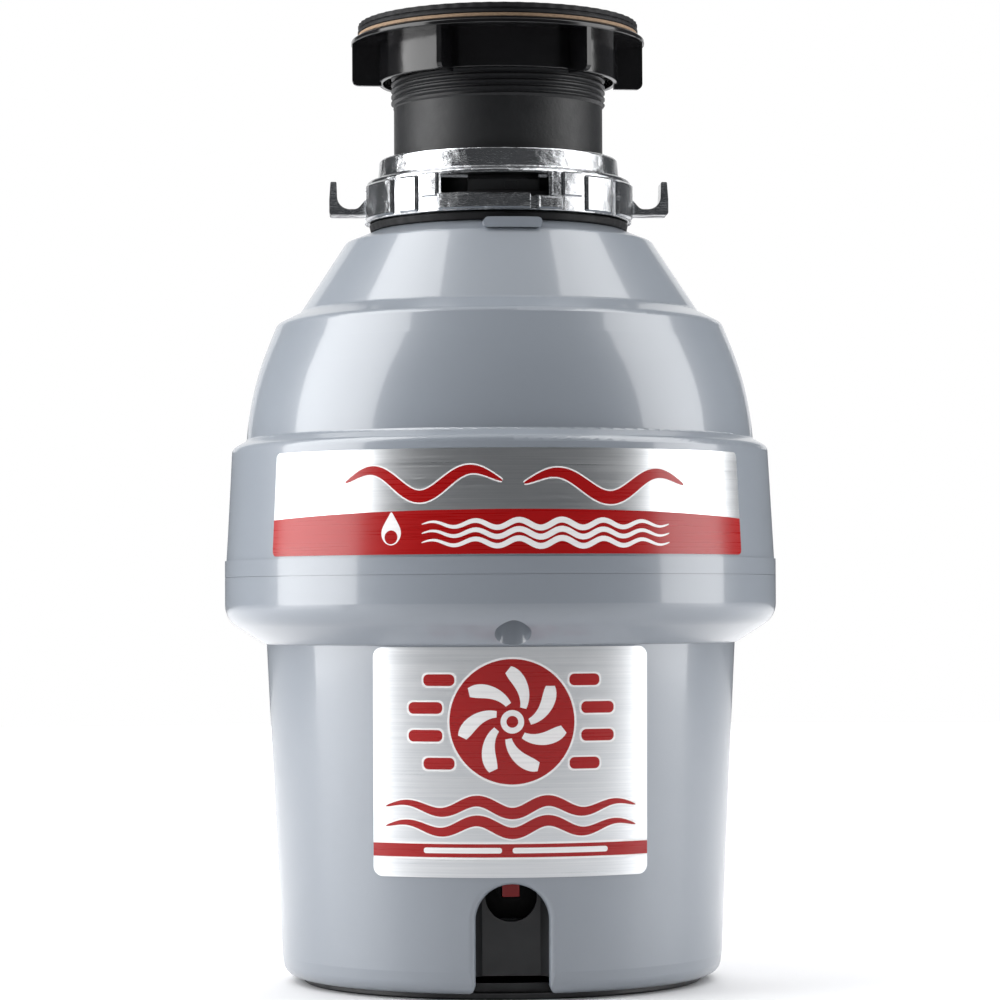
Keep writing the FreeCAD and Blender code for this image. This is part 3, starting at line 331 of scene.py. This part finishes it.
# ---- mesh helpers ----

def new_piece(name, mesh, look, replaced=(), body="root"):
    """Puts a mesh in the scene as a named piece that rides a body and may stand in for CAD nodes."""
    mesh.name = name
    mesh.materials.clear()
    mesh.materials.append(LOOKS[look].material)
    piece = bpy.data.objects.new(name, mesh)
    bpy.context.scene.collection.objects.link(piece)
    mesh.shade_smooth()
    mesh.set_sharp_from_angle(angle=SMOOTH_ANGLE)
    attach(piece, body)
    if replaced:
        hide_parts(*replaced)
    return piece


def mesh_from(vertices, faces):
    """A mesh made of points and of faces that number them."""
    mesh = bpy.data.meshes.new("shape")
    mesh.from_pydata(vertices, [], faces)
    mesh.update()
    return mesh


# ---- printed labels ----

# Millimetres, as in the CAD. The case's two cones are each given by a (radius, height) at foot and top.
SKIRT_FOOT, SKIRT_TOP = (87.0, 2.5), (93.3, 133.3)
BAND_FOOT, BAND_TOP = (109.2, 166.3), (106.8, 210.8)
BAND_LOW, BAND_HIGH = 167.2, 206.5
BADGE_LOW, BADGE_HIGH, BADGE_HALF = 46.6, 132.7, 51.7
BAND_ANGLE = math.radians(55)
FOIL = 0.25
INK = 0.03


def cone_radius(foot, top, height):
    return foot[0] + (top[0] - foot[0]) * (height - foot[1]) / (top[1] - foot[1])


def skirt_radius(height):
    return cone_radius(SKIRT_FOOT, SKIRT_TOP, height)


def band_radius(height):
    return cone_radius(BAND_FOOT, BAND_TOP, height)


def on_band(x, z, lift):
    """A point of the band label: x runs along its arc."""
    angle = x / band_radius((BAND_LOW + BAND_HIGH) / 2)
    radius = band_radius(z) + lift
    return radius * math.sin(angle), -radius * math.cos(angle), z


def on_skirt(x, z, lift):
    """A point of the front badge: x is measured straight across."""
    angle = math.asin(x / (skirt_radius(z) + FOIL))
    radius = skirt_radius(z) + lift
    return radius * math.sin(angle), -radius * math.cos(angle), z


def outward(surface, x, z):
    """The surface's own normal at a point of a label."""
    step = 0.05
    here = Vector(surface(x, z, 0.0))
    across = Vector(surface(x + step, z, 0.0)) - here
    up = Vector(surface(x, z + step, 0.0)) - here
    return across.cross(up).normalized()


def circle(x, z, radius, count):
    points = []
    for i in range(count):
        angle = 2 * math.pi * i / count
        points.append((x + radius * math.cos(angle), z + radius * math.sin(angle)))
    return points


def rounded_box(left, low, right, high, radius, count=8):
    """A rectangle whose corners are arcs of a number of steps."""
    points = []
    for cx, cz, start in ((right - radius, low + radius, -90), (right - radius, high - radius, 0),
                          (left + radius, high - radius, 90), (left + radius, low + radius, 180)):
        for i in range(count + 1):
            angle = math.radians(start + 90 * i / count)
            points.append((cx + radius * math.cos(angle), cz + radius * math.sin(angle)))
    return points


def sweep_outline(path, widths):
    """The outline of a stroke that follows a path of points with a changing half-width."""
    left, right = [], []
    for i, (x, z) in enumerate(path):
        before = path[max(i - 1, 0)]
        after = path[min(i + 1, len(path) - 1)]
        dx, dz = after[0] - before[0], after[1] - before[1]
        length = math.hypot(dx, dz)
        left.append((x - dz / length * widths[i], z + dx / length * widths[i]))
        right.append((x + dz / length * widths[i], z - dx / length * widths[i]))
    return left + right[::-1]


def wave_stroke(start, end, level, height, waves, width, grow=0.0):
    """A flowing wave line that tapers to its two ends."""
    count = 90
    tip = 0.15
    path, widths = [], []
    for i in range(count + 1):
        share = i / count
        swell = math.sin(math.pi * share)
        x = start + (end - start) * share
        path.append((x, level + height * math.sin(2 * math.pi * waves * share) * (0.55 + 0.45 * swell)))
        widths.append(tip + width * swell ** 0.6 + grow)
    return sweep_outline(path, widths)


def flat_print(name, outlines):
    """A flat slab one unit thick, filled between closed outlines."""
    curve = bpy.data.curves.new(name, "CURVE")
    curve.dimensions = "2D"
    curve.fill_mode = "BOTH"
    curve.extrude = 0.5
    for outline in outlines:
        spline = curve.splines.new("POLY")
        spline.points.add(len(outline) - 1)
        for point, (x, z) in zip(spline.points, outline):
            point.co = (x, z, 0, 1)
        spline.use_cyclic_u = True
    flat = bpy.data.objects.new(name + "_flat", curve)
    mesh = bpy.data.meshes.new_from_object(flat)
    bpy.data.objects.remove(flat)
    return mesh


def cut_into_cells(work):
    """Cleans a flat slab and cuts it across both axes, so that it can bend smoothly."""
    weld = 0.0005
    bmesh.ops.remove_doubles(work, verts=work.verts, dist=weld)
    bmesh.ops.recalc_face_normals(work, faces=work.faces)
    bmesh.ops.dissolve_limit(work, angle_limit=0.01, verts=work.verts, edges=work.edges)
    for axis, step in ((0, 2.5), (1, 7.5)):
        reach = max(abs(v.co[axis]) for v in work.verts)
        across = Vector((1 - axis, axis, 0))
        for i in range(-int(reach / step), int(reach / step) + 1):
            parts = list(work.verts) + list(work.edges) + list(work.faces)
            bmesh.ops.bisect_plane(work, geom=parts, plane_co=across * i * step, plane_no=across, dist=weld)


def wrapped_print(name, outlines, surface, low, high, look, replaced=()):
    """A thin printed layer: flat outlines in millimetres, laid on a curved surface between two lifts."""
    mesh = flat_print(name, outlines)
    work = bmesh.new()
    work.from_mesh(mesh)
    cut_into_cells(work)
    uv = work.loops.layers.uv.verify()
    for face in work.faces:
        for loop in face.loops:
            loop[uv].uv = (loop.vert.co.x * MM, loop.vert.co.y * MM)
    surface_normals = []
    on_top = []
    for vertex in work.verts:
        x, z, side = vertex.co
        surface_normals.append(outward(surface, x, z))
        on_top.append(side > 0)
        vertex.co = Vector(surface(x, z, high if side > 0 else low)) * MM
    work.to_mesh(mesh)
    work.free()
    piece = new_piece(name, mesh, look, replaced)
    # the printed side shades as the true surface does, and the thin edges and the back keep their own normals
    normals = []
    for face in mesh.polygons:
        facing_out = all(on_top[number] for number in face.vertices)
        for corner in face.loop_indices:
            true_normal = surface_normals[mesh.loops[corner].vertex_index]
            normals.append(true_normal if facing_out else face.normal.copy())
    mesh.normals_split_custom_set(normals)
    return piece


def build_band_label():
    """The foil round the band: a red stripe with a drop and ripples in white, and two red waves above it."""
    half = BAND_ANGLE * band_radius((BAND_LOW + BAND_HIGH) / 2)
    corner = 2.2
    sheet = rounded_box(-half, BAND_LOW, half, BAND_HIGH, corner)
    wrapped_print("band_foil", [sheet], on_band, 0.0, FOIL, "foil", replaced=["band_label"])
    steps = 24
    stripe_middle, stripe_fall = 183.8, 2.8
    crest = [(half * i / steps, stripe_middle - stripe_fall * (i / steps) ** 2)
             for i in range(steps, -steps - 1, -1)]
    foot = rounded_box(-half, BAND_LOW, half, 180.0, corner)
    low_corners = [point for point in foot if point[1] < 172]
    low_left = [point for point in low_corners if point[0] < 0]
    low_right = [point for point in low_corners if point[0] > 0]
    wrapped_print("band_stripe", [low_left + low_right + crest], on_band, FOIL, FOIL + INK, "red_ink")
    drop_x = -46.0
    drop = drop_outline(drop_x, 175.2, 6.3)
    inner = circle(drop_x, 173.6, 2.6, 28)
    ripples = [wave_stroke(-34, 62, level, 1.5, 6, 0.95) for level in (178.3, 174.9, 171.5)]
    wrapped_print("band_marks", [drop, inner] + ripples, on_band, FOIL + INK, FOIL + 2 * INK, "white_ink")
    waves = [(-66, -4, 194.2, 5.6, 1.5, 2.1), (4, 70, 193.2, 5.2, 1.5, 2.3)]
    edge = [wave_stroke(*wave, grow=0.55) for wave in waves]
    core = [wave_stroke(*wave) for wave in waves]
    wrapped_print("band_wave_edge", edge, on_band, FOIL, FOIL + INK, "white_ink")
    wrapped_print("band_wave", core, on_band, FOIL + INK, FOIL + 2 * INK, "red_ink")


def drop_outline(x, z, size, count=48):
    """A water drop with its point upwards, centred on its round part."""
    points = []
    for i in range(count):
        angle = 2 * math.pi * i / count
        pull = max(0.0, math.cos(angle)) ** 3
        points.append((x + size * 0.62 * math.sin(angle) * (1 - 0.55 * pull),
                       z + size * (0.72 * math.cos(angle) + 0.5 * pull)))
    return points[::-1]


def blade_outline(x, z, inner, outer, turn, sweep, width):
    """One curved blade of a turbine, between two radii."""
    path, widths = [], []
    count = 16
    for i in range(count + 1):
        share = i / count
        angle = turn + sweep * share
        radius = inner + (outer - inner) * share
        path.append((x + radius * math.cos(angle), z + radius * math.sin(angle)))
        widths.append(width * (0.35 + 0.65 * share) * (1 - 0.5 * share ** 6))
    return sweep_outline(path, widths)


def build_front_badge():
    """The foil on the skirt: a red turbine disc with side bars, two waves and a red base line."""
    sheet = rounded_box(-BADGE_HALF, BADGE_LOW, BADGE_HALF, BADGE_HIGH, 3.5)
    wrapped_print("badge_foil", [sheet], on_skirt, 0.0, FOIL, "foil", replaced=["front_label"])
    x, z = 0.0, 104.8
    keyline = 0.7
    bar_half, bar_step = 2.2, 10.4
    wings = []
    for side in (-1, 1):
        for i, (near, far) in enumerate(((21.5, 33), (26, 38.5), (26, 38.5), (21.5, 33))):
            ends = sorted((side * near, side * far))
            level = z + 1.5 * bar_step - bar_step * i
            wings.append((ends[0], level - bar_half, ends[1], level + bar_half))
    wide = [rounded_box(left - keyline, low - keyline, right + keyline, high + keyline, 2.2)
            for left, low, right, high in wings]
    narrow = [rounded_box(*wing, 1.9) for wing in wings]
    ripples = [(-47, 47, level, 2.4, 3.5, 2.0) for level in (73.0, 65.6)]
    wave_edges = [wave_stroke(*ripple, grow=0.6) for ripple in ripples]
    wave_cores = [wave_stroke(*ripple) for ripple in ripples]
    line_half = BADGE_HALF - 0.02
    base = [rounded_box(-line_half, 53.4, line_half, 60.0, 0.1, 1)]
    wrapped_print("badge_edges", [circle(x, z, 24.2, 96)] + wide + wave_edges + base, on_skirt,
                  FOIL, FOIL + INK, "white_ink")
    core = [rounded_box(-line_half, 54.2, line_half, 59.2, 0.1, 1)]
    wrapped_print("badge_disc", [circle(x, z, 23.4, 96)] + narrow + wave_cores + core, on_skirt,
                  FOIL + INK, FOIL + 2 * INK, "red_ink")
    blade_count = 7
    blades = [blade_outline(x, z, 6.5, 19.5, 2 * math.pi * i / blade_count, 0.75, 3.4)
              for i in range(blade_count)]
    bars = [rounded_box(left, 55.7, right, 57.8, 0.9) for left, right in ((-33, -4), (0, 36))]
    hub = [circle(x, z, 4.4, 40), circle(x, z, 2.2, 32)]
    wrapped_print("badge_marks", blades + hub + bars, on_skirt, FOIL + 2 * INK, FOIL + 3 * INK, "white_ink")


# ---- sink mount ----

ROUND = 240


def ring_points(radius, z):
    """One closed ring of points, whose radius may be a function of the point's number."""
    points = []
    for i in range(ROUND):
        angle = 2 * math.pi * i / ROUND
        r = radius(i) if callable(radius) else radius
        points.append(Vector((r * math.cos(angle), r * math.sin(angle), z)) * MM)
    return points


def bridge_rows(rows, closed):
    """Faces between rings of points, and from the last ring back to the first when closed."""
    faces = []
    last = len(rows) if closed else len(rows) - 1
    for row in range(last):
        near, far = row * ROUND, (row + 1) % len(rows) * ROUND
        for i in range(ROUND):
            j = (i + 1) % ROUND
            faces.append((near + i, near + j, far + j, far + i))
    return faces


def welded(vertices, faces):
    """A mesh whose meeting points are joined and whose normals face outwards."""
    distance = 0.000004
    work = bmesh.new()
    work.from_mesh(mesh_from(vertices, faces))
    bmesh.ops.remove_doubles(work, verts=work.verts, dist=distance)
    bmesh.ops.dissolve_degenerate(work, edges=work.edges, dist=distance)
    bmesh.ops.recalc_face_normals(work, faces=work.faces)
    mesh = bpy.data.meshes.new("shape")
    work.to_mesh(mesh)
    work.free()
    return mesh


TUBE, BORE, CREST = 41.8, 38.0, 42.9
TUBE_FOOT, TUBE_TOP = 309.0, 379.9
THREAD_LOW, THREAD_HIGH, PITCH = 347.0, 374.6, 2.5
TAB_REACH = TUBE + 4.2


def add_thread(vertices, faces):
    """The rising ridge: rows of points that climb one pitch a turn and sink into the tube at both ends."""
    profile = [(0.10, TUBE), (0.42, CREST), (0.62, CREST), (0.94, TUBE)]
    run_out = 1.5
    turns = int((THREAD_HIGH - THREAD_LOW) / PITCH) + 2
    rows = [(turn + share, radius) for turn in range(-1, turns) for share, radius in profile]
    for phase, radius in rows:
        for i in range(ROUND):
            angle = 2 * math.pi * i / ROUND
            z = THREAD_LOW + PITCH * (phase + i / ROUND)
            held = min(max(z, THREAD_LOW), THREAD_HIGH)
            ramp = min(1.0, (held - THREAD_LOW) / run_out, (THREAD_HIGH - held) / run_out)
            r = TUBE + (radius - TUBE) * max(0.0, ramp)
            vertices.append(Vector((r * math.cos(angle), r * math.sin(angle), held)) * MM)
    next_turn = len(profile) * ROUND
    for row in range(len(rows) - 1):
        near, far = row * ROUND, (row + 1) * ROUND
        for i in range(ROUND):
            j = (i + 1) % ROUND
            if j:
                faces.append((near + i, near + j, far + j, far + i))
            elif row + len(profile) < len(rows) - 1:
                # the last point of a row meets the start of the same row one turn higher
                faces.append((near + i, near + next_turn, far + next_turn, far + i))


def add_block(vertices, faces, inner, outer, low, high, first, last, ease=0.5):
    """A block that follows a ring, with eased outer edges, between two azimuths counted from the front."""
    start, count = len(vertices), 24
    ease_turn = math.degrees(ease / outer)
    span = last - first - 2 * ease_turn
    turns = [first] + [first + ease_turn + span * i / count for i in range(count + 1)] + [last]
    for i, turn in enumerate(turns):
        reach = outer - ease if i in (0, len(turns) - 1) else outer
        angle = math.radians(turn - 90)
        section = [(inner, low), (reach - ease, low), (reach, low + ease), (reach, high - ease),
                   (reach - ease, high), (inner, high)]
        for radius, z in section:
            vertices.append(Vector((radius * math.cos(angle), radius * math.sin(angle), z)) * MM)
    corners = len(section)
    steps = len(turns) - 1
    for i in range(steps):
        for k in range(corners):
            a, b = start + i * corners + k, start + i * corners + (k + 1) % corners
            faces.append((a, b, b + corners, a + corners))
    faces.append([start + k for k in range(corners)])
    faces.append([start + steps * corners + k for k in range(corners)][::-1])


def build_sleeve():
    """The sink sleeve with its screw thread as one rising ridge, and three bayonet tabs at its foot."""
    vertices, faces = [], []
    add_thread(vertices, faces)
    start = len(vertices)
    edge = 0.6
    rings = [(TUBE, THREAD_HIGH), (TUBE, TUBE_TOP), (BORE + 2.9, TUBE_TOP), (BORE, 375.0),
             (BORE, TUBE_FOOT + edge), (BORE + edge, TUBE_FOOT), (TUBE - edge, TUBE_FOOT),
             (TUBE, TUBE_FOOT + edge), (TUBE, THREAD_LOW)]
    for radius, z in rings:
        vertices += ring_points(radius, z)
    faces += [tuple(start + k for k in face) for face in bridge_rows(rings, False)]
    for middle in (0, 120, 240):
        add_block(vertices, faces, TUBE - 1, TAB_REACH, TUBE_FOOT, 314.2, middle - 18, middle + 18)
    new_piece("sleeve", welded(vertices, faces), "tube", ["flange_sleeve"])


def build_ring_ribs():
    """Raised pads round the bayonet ring's drum: lands, pillars beside the front window, and sills."""
    drum = 52.8
    inner = drum - 0.5
    foot = 301.5
    lands = [(-80, -53.6), (-49.2, -39.0), (37.2, 53.2), (59.0, 80), (149, 161), (164.5, 178), (182, 196),
             (199, 204), (256, 262)]
    pillars = [(-37.0, -29.0), (20.2, 23.0), (25.4, 35.2)]
    vertices, faces = [], []
    for first, last in lands:
        add_block(vertices, faces, inner, drum + 1.3, foot, 315.7, first, last, 0.75)
    for first, last in pillars:
        add_block(vertices, faces, inner, drum + 1.2, 306.9, 316.4, first, last, 0.6)
    for middle in (0, 127, 233):
        add_block(vertices, faces, inner, drum + 2.0, foot, 307.4, middle - 28.4, middle + 10.8, 0.6)
        add_block(vertices, faces, inner, drum + 2.0, foot, 306.3, middle + 14.2, middle + 24.8, 0.6)
    new_piece("ring_lands", welded(vertices, faces), "cast_metal", body="mount_ring")


def on_tab(x, z, lift):
    """A point of the front bayonet tab: x runs along its arc."""
    angle = x / TAB_REACH
    radius = TAB_REACH + lift
    return radius * math.sin(angle), -radius * math.cos(angle), z


def build_sleeve_mark():
    """A small rounded frame moulded on the front bayonet tab."""
    frame_lines = [rounded_box(0.2, 309.9, 6.2, 313.7, 0.9), rounded_box(0.9, 310.6, 5.5, 313.0, 0.5)]
    wrapped_print("sleeve_mark", frame_lines, on_tab, -0.2, 0.25, "tube")


def build_sink_gasket():
    """The rubber under the sink flange: a flat ring with a rim of small flutes round its upper edge."""
    bore, outer = 43.3, 56.2
    low, shelf, top = 376.95, 379.9, 381.1
    groove, lip = outer - 0.9, 55.0
    teeth = 60

    def fluted(i):
        return outer - 0.4 + 0.25 * math.cos(2 * math.pi * teeth * i / ROUND)

    def eased(i):
        return fluted(i) - 0.35

    rings = [
        (bore, low), (outer - 0.5, low), (outer, low + 0.4), (outer, low + 1.2), (groove, low + 1.6),
        (groove, low + 2.0), (fluted, low + 2.3), (fluted, top - 0.3), (eased, top), (lip, top),
        (lip, shelf), (bore, shelf),
    ]
    vertices = []
    for radius, z in rings:
        vertices += ring_points(radius, z)
    mesh = welded(vertices, bridge_rows(rings, True))
    new_piece("sink_rubber", mesh, "rubber", ["sink_gasket"])


# ---- the studio ----

def build_floor():
    """A plain pale floor, a wide disc that brightens to white far from the object."""
    count = 96
    reach = 3.0
    angles = [2 * math.pi * i / count for i in range(count)]
    ring = [(reach * math.cos(angle), reach * math.sin(angle), 0) for angle in angles]
    mesh = mesh_from(ring, [range(count)])
    look = Look("pale_floor")
    look.paint(look.noise(3, 3), shades((0.70, 0.70, 0.71), 0.99, 1.01))
    look.rough(look.noise(8, 3), 0.45, 0.6)
    distance = look.add("ShaderNodeVectorMath", operation="LENGTH")
    look.link(look.place, distance.inputs[0])
    fade = look.spread(distance.outputs["Value"], 0.02, 1.0, start=0.35, end=1.5)
    seen = look.add("ShaderNodeMath", operation="MULTIPLY")
    look.link(fade, seen.inputs[0])
    look.link(look.add("ShaderNodeLightPath").outputs["Is Camera Ray"], seen.inputs[1])
    look.shader.inputs["Emission Color"].default_value = (1, 1, 1, 1)
    look.link(seen.outputs["Value"], look.shader.inputs["Emission Strength"])
    mesh.materials.append(look.material)
    floor = bpy.data.objects.new("floor", mesh)
    bpy.context.scene.collection.objects.link(floor)


def soft_light(name, place, aim, width, height, power, mirrored=True):
    """A rectangular lamp that faces its aim, and that shiny surfaces may or may not mirror."""
    light = bpy.data.lights.new(name, "AREA")
    light.shape = "RECTANGLE"
    light.size = width
    light.size_y = height
    light.energy = power
    lamp = bpy.data.objects.new(name, light)
    lamp.visible_glossy = mirrored
    bpy.context.scene.collection.objects.link(lamp)
    lamp.location = place
    lamp.rotation_euler = (Vector(aim) - Vector(place)).to_track_quat("-Z", "Y").to_euler()


def build_world():
    """White behind the object, and a dimmer grey for its light and reflections."""
    world = bpy.data.worlds.new("studio")
    bpy.context.scene.world = world
    world.use_nodes = True
    nodes = world.node_tree.nodes
    links = world.node_tree.links
    seen = nodes["Background"]
    seen.inputs["Color"].default_value = (1, 1, 1, 1)
    seen.inputs["Strength"].default_value = 1.0
    around = nodes.new("ShaderNodeBackground")
    around.inputs["Color"].default_value = (0.93, 0.96, 1.0, 1)
    around.inputs["Strength"].default_value = 0.10
    rays = nodes.new("ShaderNodeLightPath")
    mix = nodes.new("ShaderNodeMixShader")
    links.new(rays.outputs["Is Camera Ray"], mix.inputs["Fac"])
    links.new(around.outputs["Background"], mix.inputs[1])
    links.new(seen.outputs["Background"], mix.inputs[2])
    links.new(mix.outputs["Shader"], nodes["World Output"].inputs["Surface"])


def build_camera():
    """The photograph's camera: a long lens a little to the left of the front, leaning slightly."""
    turn = math.radians(-2.6)
    pitch = math.radians(1.79)
    lean = math.radians(-0.29)
    distance, height = 1.380, 0.1473
    camera = bpy.data.cameras.new("camera")
    camera.lens = 124.2
    camera.sensor_width = 36.0
    holder = bpy.data.objects.new("camera", camera)
    bpy.context.scene.collection.objects.link(holder)
    holder.location = (distance * math.sin(turn), -distance * math.cos(turn), height)
    forward = Vector((-math.sin(turn) * math.cos(pitch), math.cos(turn) * math.cos(pitch), math.sin(pitch)))
    facing = forward.to_track_quat("-Z", "Y").to_matrix().to_4x4()
    holder.rotation_euler = (facing @ Matrix.Rotation(lean, 4, "Z")).to_euler()
    bpy.context.scene.camera = holder


def build_studio():
    """The floor, the white surround, five soft lamps and the camera."""
    build_floor()
    build_world()
    soft_light("left_box", (-1.15, -0.16, 0.80), (0, 0, 0.45), 1.05, 2.5, 48)
    soft_light("right_box", (1.15, -0.18, 0.80), (0, 0, 0.45), 0.85, 2.5, 31)
    soft_light("top_box", (0, -0.1, 1.9), (0, 0, 0.2), 1.6, 1.6, 8)
    soft_light("back_box", (0, 1.7, 0.9), (0, 0, 0.2), 1.8, 1.2, 6)
    soft_light("floor_wash", (0, 1.9, 1.5), (0, 1.8, 0), 3.4, 2.6, 80, mirrored=False)
    build_camera()
    bpy.context.scene.view_settings.view_transform = "Standard"


dress_nodes()
build_band_label()
build_front_badge()
build_sleeve()
build_ring_ribs()
build_sleeve_mark()
build_sink_gasket()
build_studio()
